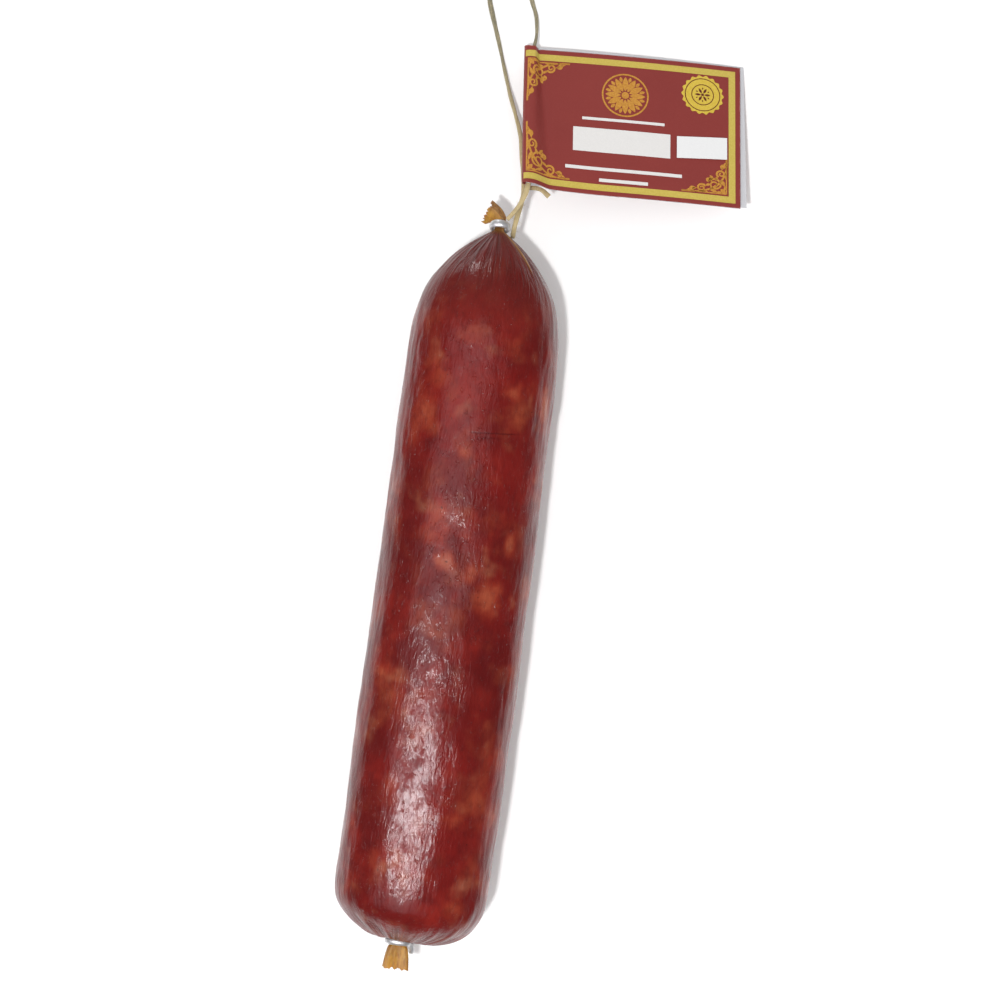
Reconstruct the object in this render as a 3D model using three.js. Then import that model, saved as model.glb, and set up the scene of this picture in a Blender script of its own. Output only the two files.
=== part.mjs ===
// Cured sausage in a clipped casing, with its hanging string and its folded card tag.
// Millimetres, +Z up. It lies along Y on the plane z = 0, with its hanging end at +Y.
// The origin is the middle of the strip that it rests on.
import * as THREE from 'three';

// ---------------------------------------------------------------- driving dimensions

const GAP = 0.3;                 // clearance kept between touching pieces

const BODY = {
  upperRadius: 24.4,             // at the foot of the shoulder
  lowerRadius: 25.3,             // just above the blunt end
  sink: 0.9,                     // how far the underside is pressed flat by its own weight
  centreX: -0.1,
  lean: -0.0117,                 // sideways drift of the axis per millimetre along Y
  sides: 48,
  rings: 22,
};

const SHOULDER = { foot: 77, apex: 120.5, power: 2.8, rings: 16, lastFraction: 0.945 };
const BLUNT = {
  foot: -99.5,
  depth: 20,
  power: 2.4,
  rings: 10,
  lastAngle: 69,
  offsetX: -2.0,
  droop: 7,                      // the end face leans back at the top by this many degrees
  turn: -3,                      // and at the left
};
// The hollow round the lower clip: radius and how far it lies inside the rim.
const DIMPLE = [[7.6, -118.5], [6.2, -118.2], [5.0, -117.3], [3.6, -116.6]];
const PLEATS = { count: 12, depth: 0.05 };

const UPPER_CLIP = {
  centre: [-1.3, 120.9, 23.5],
  droop: 20,                     // the neck hangs this many degrees below level
  neck: [1.6, 1.4],
  wire: [2.6, 1.7],              // along the neck, and across it
  swing: { out: 0, along: 0 },
};
const LOWER_CLIP = {
  centre: [-0.5, -118.6, 25.0],
  droop: 7,
  neck: [2.3, 1.7],
  wire: [2.2, 1.7],
  swing: { out: 2.2, along: -2.8 },  // how far the free end is bent outwards and away
};
const CLIP_ARC = { from: 250, to: -60, steps: 30, swingFrom: 25, sides: 12 };

const STRING = { diameter: 1.5, sides: 8, steps: 78 };

// From the lower right of the upper clip, round the loop, through the tag's fold, to the clip's top.
const STRING_ROUTE = [
  [3.3, 118.4, 20.4], [3.4, 119.6, 22.6], [3.5, 121.4, 23.7], [3.8, 124.6, 23.2],
  [4.3, 128.5, 21.6], [4.8, 132.5, 19.9], [4.5, 137.0, 17.9], [3.0, 144.5, 14.9],
  [0.9, 154.0, 11.0], [-1.5, 160.5, 7.9], [-5.0, 169.2, 3.9], [-8.6, 179.2, 1.4],
  [-11.9, 188.2, 0.82], [-14.7, 195.4, 0.82], [-16.8, 202.0, 0.82], [-17.4, 208.5, 0.82],
  [-15.8, 215.0, 0.82], [-11.9, 219.0, 0.82], [-7.4, 217.4, 0.82], [-4.6, 212.0, 0.82],
  [-3.2, 206.5, 0.82], [-1.8, 201.5, 0.82], [0.0, 197.5, 1.0], [1.0, 193.0, 2.9],
  [1.4, 188.5, 5.6], [1.15, 184.4, 7.72], [2.05, 172.0, 11.55], [3.35, 159.7, 15.5],
  [4.7, 147.6, 20.2], [6.0, 136.6, 24.9], [5.5, 132.4, 26.0], [4.3, 129.2, 26.1],
  [2.9, 126.4, 26.0], [1.5, 124.4, 25.8], [0.8, 123.4, 25.5],
];

// The cut end of the string, which lies beside the two strands under the tag's lower edge.
const CUT_END = { diameter: 1.6, steps: 5 };
const CUT_END_ROUTE = [[6.0, 135.7, 18.6], [10.2, 135.9, 17.8], [13.4, 134.0, 17.0]];

const TAG = {
  corner: [3.8, 134.2, 21.1],    // lower end of the fold
  tilt: [-16.5, 3.8, 3.7],       // degrees about X, Y and Z
  width: 74,
  height: 52,
  lean: -0.03,                   // how far out of square it is cut
  thickness: 0.3,
  overhang: { lower: 2.4, upper: 1.5 },  // how far the back leaf reaches past the front one
  skew: 1.2,                     // how far the back leaf sits above the front one
  foldRadius: { lower: 2.1, upper: 1.8 },
  nearGap: 0.45,                 // half the gap between the leaves beside the fold
  farGap: 0.7,                   // and at their free edges
  curl: 1.0,
  rows: 13,
  foldSteps: 10,
  closeSteps: 16,                // stations beside the fold
  closeReach: 11,                // how far they go
  openSteps: 11,                 // stations over the rest of a leaf
};
// Where the front leaf comes down from the string, and the hollow at the foot of that slope.
const RIDGE = { lower: { start: 2.8, run: 7.6 }, upper: { start: 3.4, run: 1.4 } };
const HOLLOW = { depth: 0.22, width: 0.7 };
// The string lifts the lower end of the fold; the lift dies out across and up the tag.
const LIFT = { height: 3.2, across: 28, up: 34, power: 1.5 };

const STICKER = { left: 52.2, right: 69.4, bottom: 16.0, top: 23.9, slope: 0.07, thickness: 0.15, steps: 6 };

const FINISH = {
  casing: { color: 0x7d211f, roughness: 0.38, metalness: 0 },
  clip: { color: 0xd8d8d6, roughness: 0.3, metalness: 1 },
  string: { color: 0x9a9068, roughness: 0.9, metalness: 0 },
  card: { color: 0x8c3732, roughness: 0.55, metalness: 0 },
  sticker: { color: 0xeeeeee, roughness: 0.6, metalness: 0 },
};

// ---------------------------------------------------------------- helpers

const radians = THREE.MathUtils.degToRad;
const mix = THREE.MathUtils.lerp;
const smooth = (x, from, to) => THREE.MathUtils.smoothstep(x, from, to);

function geometryFrom(points, triangles) {
  const geometry = new THREE.BufferGeometry();
  const flat = points.flatMap((p) => [p.x, p.y, p.z]);
  geometry.setAttribute('position', new THREE.Float32BufferAttribute(flat, 3));
  geometry.setIndex(triangles);
  geometry.computeVertexNormals();
  return geometry;
}

function namedMesh(name, geometry, finish) {
  const mesh = new THREE.Mesh(geometry, new THREE.MeshStandardMaterial(finish));
  mesh.name = name;
  return mesh;
}

function range(count) {
  return Array.from({ length: count }, (_, i) => i);
}

function rightHanded(points) {
  return new THREE.CatmullRomCurve3(points.map((p) => new THREE.Vector3(...p)), false, 'centripetal');
}

// ---------------------------------------------------------------- sausage

function bodyRadius(y) {
  const along = (SHOULDER.foot - y) / (SHOULDER.foot - BLUNT.foot);
  return mix(BODY.upperRadius, BODY.lowerRadius, THREE.MathUtils.clamp(along, 0, 1));
}

function axisX(y) {
  return BODY.centreX + BODY.lean * y;
}

// One section of the loft: an ellipse whose plane is turned about Z and then tipped forward.
function section(centre, halfWidth, halfHeight, extra = {}) {
  return { centre, halfWidth, halfHeight, turn: 0, droop: 0, pleat: 0, ...extra };
}

function upperTailSections() {
  const { droop } = UPPER_CLIP;
  return [
    section([-6.0, 125.7, 20.6], 3.2, 0.9, { turn: 65, droop: 25 }),
    section([-4.6, 125.0, 21.4], 3.1, 1.2, { turn: 52, droop: 25 }),
    section([-3.0, 124.2, 22.0], 2.7, 1.4, { turn: 34, droop: 22 }),
    section([-1.8, 123.4, 22.5], 2.1, 1.5, { turn: 14, droop }),
  ];
}

function upperNeckSections() {
  const [x, y, z] = UPPER_CLIP.centre;
  const [halfWidth, halfHeight] = UPPER_CLIP.neck;
  const slope = Math.tan(radians(UPPER_CLIP.droop));
  return [1.5, 0, -1.5].map((step) => (
    section([x, y + step, z - step * slope], halfWidth, halfHeight, { droop: UPPER_CLIP.droop })
  ));
}

function shoulderSections() {
  return range(SHOULDER.rings).map((i) => {
    const fraction = SHOULDER.lastFraction * (1 - i / SHOULDER.rings);
    const y = mix(SHOULDER.foot, SHOULDER.apex, fraction);
    const radius = bodyRadius(y) * (1 - fraction ** SHOULDER.power);
    const height = BODY.upperRadius - BODY.sink;
    const pleat = PLEATS.depth * smooth(fraction, 0.25, 0.8);
    return section([axisX(y), y, height], radius, radius, { pleat });
  });
}

function bodySections() {
  return range(BODY.rings).map((i) => {
    const y = mix(SHOULDER.foot, BLUNT.foot, i / BODY.rings);
    const radius = bodyRadius(y);
    return section([axisX(y), y, radius - BODY.sink], radius, radius);
  });
}

function bluntSections() {
  return range(BLUNT.rings).map((i) => {
    const fraction = Math.sin(radians(BLUNT.lastAngle * i / (BLUNT.rings - 1)));
    const y = BLUNT.foot - BLUNT.depth * fraction;
    const radius = BODY.lowerRadius * Math.sqrt(1 - fraction ** BLUNT.power);
    const x = axisX(y) + BLUNT.offsetX * fraction ** 6;
    const pleat = PLEATS.depth * smooth(fraction, 0.6, 0.95);
    return leaningSection([x, y, BODY.lowerRadius - BODY.sink], radius, fraction, pleat);
  });
}

function leaningSection(centre, radius, fraction, pleat) {
  const leaning = smooth(fraction, 0.2, 1);
  const droop = BLUNT.droop * leaning;
  const turn = BLUNT.turn * leaning;
  return section(centre, radius, radius, { pleat, droop, turn });
}

function dimpleSections() {
  const [clipX, , clipZ] = LOWER_CLIP.centre;
  const rimX = axisX(BLUNT.foot - BLUNT.depth) + BLUNT.offsetX;
  const rimZ = BODY.lowerRadius - BODY.sink;
  return DIMPLE.map(([radius, y], i) => {
    const inwards = (i + 1) / (DIMPLE.length + 1);
    const centre = [mix(rimX, clipX, inwards), y, mix(rimZ, clipZ, inwards)];
    return leaningSection(centre, radius, 1, PLEATS.depth * (1 - inwards));
  });
}

function lowerNeckSections() {
  const [x, y, z] = LOWER_CLIP.centre;
  const [halfWidth, halfHeight] = LOWER_CLIP.neck;
  const { droop } = LOWER_CLIP;
  return [2.4, 0, -1.3].map((step) => section([x, y + step, z], halfWidth, halfHeight, { droop }));
}

function lowerTailSections() {
  return [
    section([-0.5, -120.7, 25.2], 2.7, 1.8),
    section([-0.4, -122.0, 25.2], 3.3, 1.9),
    section([-0.4, -125.0, 25.1], 3.8, 2.1),
    section([-0.3, -128.2, 24.8], 4.2, 2.2),
  ];
}

function sectionPoints({ centre, halfWidth, halfHeight, turn, droop, pleat }) {
  const spin = new THREE.Euler(radians(-droop), 0, radians(turn), 'ZXY');
  return range(BODY.sides).map((i) => {
    const angle = 2 * Math.PI * i / BODY.sides;
    const swell = 1 + pleat * Math.cos(PLEATS.count * angle);
    const point = new THREE.Vector3(
      halfWidth * swell * Math.cos(angle), 0, halfHeight * swell * Math.sin(angle),
    );
    point.applyEuler(spin).add(new THREE.Vector3(...centre));
    point.z = Math.max(point.z, 0);
    return point;
  });
}

function loft(sections) {
  const { sides } = BODY;
  const points = sections.flatMap(sectionPoints);
  const triangles = [];
  for (let ring = 0; ring < sections.length - 1; ring += 1) {
    for (let i = 0; i < sides; i += 1) {
      const a = ring * sides + i;
      const b = ring * sides + (i + 1) % sides;
      triangles.push(a, b, a + sides, b, b + sides, a + sides);
    }
  }
  for (const [ring, flip] of [[0, false], [sections.length - 1, true]]) {
    const middle = points.length;
    points.push(new THREE.Vector3(...sections[ring].centre));
    for (let i = 0; i < sides; i += 1) {
      const a = ring * sides + i;
      const b = ring * sides + (i + 1) % sides;
      triangles.push(...(flip ? [middle, a, b] : [middle, b, a]));
    }
  }
  return geometryFrom(points, triangles);
}

function sausage() {
  const sections = [
    ...upperTailSections(), ...upperNeckSections(), ...shoulderSections(),
    ...bodySections(), ...bluntSections(), ...dimpleSections(), ...lowerNeckSections(),
    ...lowerTailSections(),
  ];
  return namedMesh('sausage', loft(sections), FINISH.casing);
}

// ---------------------------------------------------------------- clips

function ovalShape(width, height, sides) {
  return new THREE.Shape(range(sides).map((i) => {
    const angle = 2 * Math.PI * i / sides;
    return new THREE.Vector2(width / 2 * Math.cos(angle), height / 2 * Math.sin(angle));
  }));
}

// A piece of wire closed over the neck, with a small gap left under it.
function clip(name, { centre, droop, neck, wire, swing }) {
  const [along, across] = wire;
  const points = range(CLIP_ARC.steps + 1).map((i) => {
    const degrees = mix(CLIP_ARC.from, CLIP_ARC.to, i / CLIP_ARC.steps);
    const bend = smooth(-degrees, -CLIP_ARC.swingFrom, -CLIP_ARC.to);
    const reach = GAP + across / 2;
    return [
      (neck[0] + reach) * Math.cos(radians(degrees)) + swing.out * bend,
      swing.along * bend,
      (neck[1] + reach) * Math.sin(radians(degrees)),
    ];
  });
  const geometry = new THREE.ExtrudeGeometry(ovalShape(along, across, CLIP_ARC.sides), {
    steps: CLIP_ARC.steps,
    bevelEnabled: false,
    extrudePath: rightHanded(points),
  });
  const mesh = namedMesh(name, geometry, FINISH.clip);
  mesh.position.set(...centre);
  mesh.rotation.x = radians(-droop);
  return mesh;
}

// ---------------------------------------------------------------- string

function tube(name, route, { diameter, steps }) {
  const geometry = new THREE.ExtrudeGeometry(ovalShape(diameter, diameter, STRING.sides), {
    steps,
    bevelEnabled: false,
    extrudePath: rightHanded(route),
  });
  return namedMesh(name, geometry, FINISH.string);
}

// ---------------------------------------------------------------- tag

function cardCurl(across) {
  const half = TAG.width / 2;
  return TAG.curl * (1 - ((across - half) / half) ** 2);
}

// How far up the tag a point is: 0 at the lower edge, 1 at the upper one.
function levelAt(up) {
  return THREE.MathUtils.clamp(up / TAG.height, 0, 1);
}

function between({ lower, upper }, up) {
  return mix(lower, upper, levelAt(up));
}

function lift(across, up) {
  const far = Math.max(1 - across / LIFT.across, 0) ** LIFT.power;
  const high = Math.max(1 - levelAt(up) * TAG.height / LIFT.up, 0) ** LIFT.power;
  return LIFT.height * far * high;
}

function halfGap(across) {
  return mix(TAG.nearGap, TAG.farGap, across / TAG.width);
}

function frontLeaf(across, up) {
  const start = mix(RIDGE.lower.start, RIDGE.upper.start, levelAt(up));
  const foot = start + mix(RIDGE.lower.run, RIDGE.upper.run, levelAt(up));
  const crest = 2 * between(TAG.foldRadius, up) - TAG.nearGap;
  const hollow = HOLLOW.depth * levelAt(up) * Math.exp(-(((across - foot) / HOLLOW.width) ** 2));
  const height = mix(crest, halfGap(across), smooth(across, start, foot)) - hollow;
  return height + cardCurl(across) + lift(across, up);
}

function backLeaf(across, up) {
  return cardCurl(across) + lift(across, up) - halfGap(across);
}

// Distances from the fold to the free edge, closer together beside the fold.
function leafStations(radius, width) {
  const close = range(TAG.closeSteps).map((i) => mix(radius, TAG.closeReach, i / TAG.closeSteps));
  const open = range(TAG.openSteps + 1).map((i) => mix(TAG.closeReach, width, i / TAG.openSteps));
  return [...close, ...open];
}

// The card's middle line at one height: back leaf, round the fold, front leaf.
function cardLine(up) {
  const radius = between(TAG.foldRadius, up);
  const backUp = up + TAG.skew;
  const at = (x, y, z) => new THREE.Vector3(x + TAG.lean * y, y, z);
  const back = leafStations(radius, TAG.width + between(TAG.overhang, up)).slice(1).reverse();
  const line = back.map((x) => at(x, backUp, backLeaf(x, up)));
  for (let i = 0; i <= TAG.foldSteps; i += 1) {
    const angle = -Math.PI / 2 - Math.PI * i / TAG.foldSteps;
    const x = radius * (1 + Math.cos(angle));
    const middle = radius - TAG.nearGap + cardCurl(x) + lift(x, up);
    line.push(at(x, up + TAG.skew * (1 - i / TAG.foldSteps), middle + radius * Math.sin(angle)));
  }
  const front = leafStations(radius, TAG.width).slice(1);
  line.push(...front.map((x) => at(x, up, frontLeaf(x, up))));
  return line;
}

// The two faces of a thin sheet whose middle line is given, in planes of constant Y.
function facePoints(line, thickness, side) {
  return line.map((point, i) => {
    const before = line[Math.max(i - 1, 0)];
    const after = line[Math.min(i + 1, line.length - 1)];
    const normal = new THREE.Vector3(before.z - after.z, 0, after.x - before.x).normalize();
    return point.clone().addScaledVector(normal, side * thickness / 2);
  });
}

// A closed thin solid from middle lines that follow each other up the sheet.
function sheetGeometry(lines, thickness) {
  const columns = lines[0].length;
  const rows = lines.length;
  const face = columns * rows;
  const points = [
    ...lines.flatMap((line) => facePoints(line, thickness, 1)),
    ...lines.flatMap((line) => facePoints(line, thickness, -1)),
  ];
  const triangles = [];
  const quad = (a, b, c, d) => triangles.push(a, b, c, a, c, d);
  for (let r = 0; r < rows - 1; r += 1) {
    for (let c = 0; c < columns - 1; c += 1) {
      const a = r * columns + c;
      quad(a, a + 1, a + 1 + columns, a + columns);
      quad(face + a, face + a + columns, face + a + 1 + columns, face + a + 1);
    }
    const left = r * columns;
    const right = left + columns - 1;
    quad(left, left + columns, face + left + columns, face + left);
    quad(right, face + right, face + right + columns, right + columns);
  }
  for (let c = 0; c < columns - 1; c += 1) {
    const top = (rows - 1) * columns + c;
    quad(c, face + c, face + c + 1, c + 1);
    quad(top, top + 1, face + top + 1, face + top);
  }
  return geometryFrom(points, triangles);
}

function tagCard() {
  const lines = range(TAG.rows + 1).map((i) => cardLine(TAG.height * i / TAG.rows));
  return namedMesh('tag', sheetGeometry(lines, TAG.thickness), FINISH.card);
}

function sticker() {
  const above = TAG.thickness / 2 + GAP + STICKER.thickness / 2;
  const lines = [STICKER.bottom, STICKER.top].map((level) => range(STICKER.steps + 1).map((i) => {
    const x = mix(STICKER.left, STICKER.right, i / STICKER.steps);
    const up = level + STICKER.slope * (x - STICKER.left);
    return new THREE.Vector3(x + TAG.lean * up, up, frontLeaf(x, up) + above);
  }));
  return namedMesh('sticker', sheetGeometry(lines, STICKER.thickness), FINISH.sticker);
}

function tagGroup() {
  const group = new THREE.Group();
  const [aboutX, aboutY, aboutZ] = TAG.tilt.map(radians);
  group.position.set(...TAG.corner);
  group.rotation.set(aboutX, aboutY, aboutZ, 'ZYX');
  group.add(tagCard(), sticker());
  return group;
}

// ---------------------------------------------------------------- the whole object

const object = new THREE.Group();
object.add(
  sausage(),
  clip('upper_clip', UPPER_CLIP),
  clip('lower_clip', LOWER_CLIP),
  tube('string_loop', STRING_ROUTE, STRING),
  tube('string_end', CUT_END_ROUTE, CUT_END),
  tagGroup(),
);

export default object;
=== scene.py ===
"""Looks of a smoked, cured sausage that lies on its side, with its clips, string and card tag."""

import math
import random

import bpy
import numpy as np
from mathutils import Euler, Matrix, Vector, noise
from mathutils.bvhtree import BVHTree


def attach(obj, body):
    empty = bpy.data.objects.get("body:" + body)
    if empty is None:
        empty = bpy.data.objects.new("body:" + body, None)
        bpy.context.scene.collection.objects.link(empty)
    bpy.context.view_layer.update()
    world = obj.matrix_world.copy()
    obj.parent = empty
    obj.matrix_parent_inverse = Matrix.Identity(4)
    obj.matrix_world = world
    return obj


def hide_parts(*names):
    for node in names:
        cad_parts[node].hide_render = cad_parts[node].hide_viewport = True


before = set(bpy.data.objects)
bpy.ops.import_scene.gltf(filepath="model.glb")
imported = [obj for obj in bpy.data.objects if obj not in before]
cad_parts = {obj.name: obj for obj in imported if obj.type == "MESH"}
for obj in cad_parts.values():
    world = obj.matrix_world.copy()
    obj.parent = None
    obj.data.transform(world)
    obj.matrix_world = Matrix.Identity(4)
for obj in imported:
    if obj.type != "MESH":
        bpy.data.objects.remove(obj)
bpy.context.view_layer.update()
MM = 0.001


# ---------------- helpers


def srgb(red, green, blue):
    """A colour given as 0-255 display values, in the linear values that a shader takes."""
    scaled = [c / 255 for c in (red, green, blue)]
    linear = [c / 12.92 if c <= 0.04045 else ((c + 0.055) / 1.055) ** 2.4 for c in scaled]
    return (*linear, 1.0)


def smooth(x, low, high):
    """0 below low, 1 above high, and a smooth step between them."""
    t = np.clip((np.asarray(x, float) - low) / (high - low), 0, 1)
    return t * t * (3 - 2 * t)


def mix(a, b, t):
    return a + (b - a) * t


def around(count):
    """Angles evenly round a circle."""
    return np.linspace(0, 2 * math.pi, count, endpoint=False)


def add_object(name, data):
    """A new object in the scene."""
    made = bpy.data.objects.new(name, data)
    bpy.context.scene.collection.objects.link(made)
    return made


def add_piece(name, points, faces, material, shade_smooth=True):
    """A mesh piece in metres that rides with the object."""
    mesh = bpy.data.meshes.new(name)
    mesh.from_pydata([tuple(p) for p in points], [], faces)
    mesh.validate()
    mesh.update()
    piece = add_object(name, mesh)
    mesh.materials.append(material)
    mesh.polygons.foreach_set("use_smooth", [shade_smooth] * len(mesh.polygons))
    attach(piece, "root")
    return piece


def grid_faces(rows, columns, closed=True, flip=False):
    """Quads between rows of points that follow each other."""
    faces = []
    for r in range(rows - 1):
        for c in range(columns if closed else columns - 1):
            a = r * columns + c
            b = r * columns + (c + 1) % columns
            quad = (a, b, b + columns, a + columns)
            faces.append(quad[::-1] if flip else quad)
    return faces


def tube_faces(rows, columns):
    """Quads along a tube of points, and one face that closes each end."""
    last = (rows - 1) * columns
    return [*grid_faces(rows, columns), tuple(range(columns))[::-1], tuple(range(last, last + columns))]


def directions(line):
    """The way along a line at each of its points, one unit long."""
    tangent = np.gradient(line, axis=0)
    return tangent / np.maximum(np.linalg.norm(tangent, axis=1), 1e-9)[:, None]


def add_numbers(mesh, name, numbers, kind="FLOAT"):
    """A number for each point, or three with the kind FLOAT_VECTOR, that the material can read."""
    attribute = mesh.attributes.new(name, kind, "POINT")
    key = "value" if kind == "FLOAT" else "vector"
    attribute.data.foreach_set(key, np.asarray(numbers, np.float32).ravel())


def noise_at(points, scale, seed=0.0, octaves=3):
    """Fractal noise, about -1 to 1, at points given in millimetres; scale may differ by axis."""
    scaled = np.asarray(points, float) * np.asarray(scale, float) + seed
    return np.array([noise.fractal(Vector(p), 1.0, 2.1, octaves) for p in scaled])


def ridges_at(points, scale, seed=0.0):
    """Sharp valleys between rounded ridges: 0 in a valley, towards 1 on a ridge."""
    return np.minimum(np.abs(noise_at(points, scale, seed, 2)) * 2.2, 1)


class Graph:
    """A Principled material whose inputs are worked out by nodes."""

    def __init__(self, name):
        self.material = bpy.data.materials.new(name)
        self.material.use_nodes = True
        self.tree = self.material.node_tree
        self.shader = self.tree.nodes["Principled BSDF"]

    def set(self, **values):
        """Plain numbers and colours on the shader's own sockets."""
        for key, value in values.items():
            self.shader.inputs[key.replace("_", " ")].default_value = value

    def plug(self, source, socket):
        self.tree.links.new(source, self.shader.inputs[socket])

    def node(self, kind, inputs=(), **properties):
        made = self.tree.nodes.new(kind)
        for key, value in properties.items():
            setattr(made, key, value)
        for key, value in dict(inputs).items():
            if hasattr(value, "links"):
                self.tree.links.new(value, made.inputs[key])
            else:
                made.inputs[key].default_value = value
        return made

    def place(self, scale=(1, 1, 1)):
        """The point in the row frame, in millimetres, stretched by scale."""
        where = self.node("ShaderNodeTexCoord").outputs["Object"]
        size = [s / MM for s in scale]
        return self.node("ShaderNodeMapping", {"Vector": where, "Scale": size}).outputs["Vector"]

    def noise(self, scale, detail=3.0, rough=0.5, stretch=(1, 1, 1), shift=0, twist=0, at=None):
        inputs = {"Vector": at or self.place(stretch), "Scale": scale, "Detail": detail,
                  "Roughness": rough, "Distortion": twist}
        if shift:
            moved = self.node("ShaderNodeVectorMath", {0: inputs["Vector"], 1: (shift,) * 3})
            inputs["Vector"] = moved.outputs[0]
        return self.node("ShaderNodeTexNoise", inputs).outputs["Fac"]

    def value(self, name):
        return self.node("ShaderNodeAttribute", attribute_name=name).outputs["Fac"]

    def vector(self, name):
        return self.node("ShaderNodeAttribute", attribute_name=name).outputs["Vector"]

    def math(self, operation, a, b=0.0):
        return self.node("ShaderNodeMath", {0: a, 1: b}, operation=operation).outputs[0]

    def times(self, a, b):
        return self.math("MULTIPLY", a, b)

    def minus(self, a, b):
        return self.math("SUBTRACT", a, b)

    def dot(self, a, b):
        made = self.node("ShaderNodeVectorMath", {0: a, 1: b}, operation="DOT_PRODUCT")
        return made.outputs["Value"]

    def step(self, value, low, high, start=0.0, end=1.0):
        """A smooth step of value from low to high."""
        made = self.node("ShaderNodeMapRange", {"Value": value, "From Min": low, "From Max": high,
                                                "To Min": start, "To Max": end},
                         interpolation_type="SMOOTHSTEP")
        return made.outputs["Result"]

    def blend(self, factor, a, b):
        """Colour a where factor is 0, and colour b where it is 1."""
        return self.node("ShaderNodeMix", {0: factor, 6: a, 7: b}, data_type="RGBA").outputs[2]

    def split(self, vector):
        return list(self.node("ShaderNodeSeparateXYZ", {0: vector}).outputs)

    def bump(self, height, distance, under=None):
        """A bump whose distance is in millimetres."""
        inputs = {"Height": height, "Distance": distance * MM, "Strength": 1.0}
        if under is not None:
            inputs["Normal"] = under
        return self.node("ShaderNodeBump", inputs).outputs["Normal"]


# ---------------- camera and light

VIEW_WIDTH = 331.8 * MM  # what the camera sees across, at the height of the sausage's middle
VIEW_HEIGHT = 25 * MM  # that height
CAMERA_ABOVE = 750 * MM  # from there up to the camera
VIEW_CENTRE = (11.7 * MM, 31 * MM)
VIEW_TURN = math.radians(8.22)  # the sausage leans to the right by this much in the picture
SENSOR = 36


def make_camera():
    data = bpy.data.cameras.new("camera")
    data.sensor_width = SENSOR
    data.lens = SENSOR * CAMERA_ABOVE / VIEW_WIDTH
    camera = add_object("camera", data)
    camera.location = (*VIEW_CENTRE, VIEW_HEIGHT + CAMERA_ABOVE)
    camera.rotation_euler = (0, 0, VIEW_TURN)
    bpy.context.scene.camera = camera


def make_area_light(name, place, size, radiance, mirrored=True, tip=0, colour=(1, 1, 1)):
    """An even rectangle that faces down, or tipped; it is only mirrored, or it only lights."""
    data = bpy.data.lights.new(name, "AREA")
    data.shape = "RECTANGLE"
    data.size, data.size_y = size
    data.energy = radiance * math.pi * size[0] * size[1]
    data.color = colour
    light = add_object(name, data)
    light.location = place
    light.rotation_euler = (math.radians(tip), 0, 0)
    light.visible_glossy = mirrored
    light.visible_diffuse = not mirrored


# Stacked sheets of one soft panel, so that its edges fade: width, near and far end, radiance.
PANELS = [
    (2.3, 0.5, -1.2, 0.5), (1.9, 0.45, -1.2, 0.5), (1.5, 0.4, -1.2, 0.3),
    (1.9, 0.02, -1.2, 0.35), (1.4, -0.12, -0.33, 0.6),
]
PANEL_X, PANEL_ABOVE, PANEL_GAP = -0.62, 1.25, 0.02
WORLD_STRENGTH = 0.83


def make_lights():
    """A wide soft panel and three lamps that the skin mirrors, and a small key for the shadow."""
    for i, (width, near, far, radiance) in enumerate(PANELS):
        place = (PANEL_X, (far + near) / 2, PANEL_ABOVE + PANEL_GAP * i)
        make_area_light(f"panel_{i}", place, (width, near - far), radiance, colour=(1, 0.93, 1))
    make_area_light("lamp", (-0.32, -0.235, 1.12), (1, 0.06), 60, colour=(0.94, 0.98, 1))
    make_area_light("strip", (-0.19, -0.17, 1.15), (0.5, 0.035), 7)
    make_area_light("window", (-0.55, 1.6, 0.27), (0.16, 0.42), 21, tip=-84)
    make_area_light("key", (-0.12, -0.165, 1.18), (0.06, 0.06), 780, mirrored=False)


def make_world():
    """Even white light that falls on everything but isn't mirrored."""
    world = bpy.data.worlds.new("studio")
    bpy.context.scene.world = world
    world.use_nodes = True
    background = world.node_tree.nodes["Background"]
    background.inputs["Color"].default_value = (1, 1, 1, 1)
    background.inputs["Strength"].default_value = WORLD_STRENGTH
    world.cycles_visibility.glossy = False
    bpy.context.scene.view_settings.view_transform = "Standard"


# How far the floor reaches, and the part of it round the object that its sides mirror.
FLOOR_HALF = 3.0
MIRRORED = (-0.105, 0.105, -0.2, 0.26)


def make_floor_part(name, rectangles, material):
    points = [(x, y, 0) for left, right, low, high in rectangles
              for x, y in ((left, low), (right, low), (right, high), (left, high))]
    mesh = bpy.data.meshes.new(name)
    mesh.from_pydata(points, [], [tuple(range(i, i + 4)) for i in range(0, len(points), 4)])
    mesh.materials.append(material)
    part = add_object(name, mesh)
    return part


def make_floor():
    """A pale floor; only the part near the object shows in the shine on its sides."""
    graph = Graph("pale_floor")
    grain = graph.noise(0.02, 2)
    graph.plug(graph.blend(grain, (0.9, 0.9, 0.9, 1), (0.93, 0.93, 0.93, 1)), "Base Color")
    graph.set(Roughness=0.8)
    left, right, low, high = MIRRORED
    half = FLOOR_HALF
    make_floor_part("floor_near", [MIRRORED], graph.material)
    far = [(-half, left, -half, half), (right, half, -half, half),
           (left, right, -half, low), (left, right, high, half)]
    make_floor_part("floor_far", far, graph.material).visible_glossy = False


# ---------------- sausage
# Sizes here are in millimetres, the same as the CAD's, and become metres when a piece is made.

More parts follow.
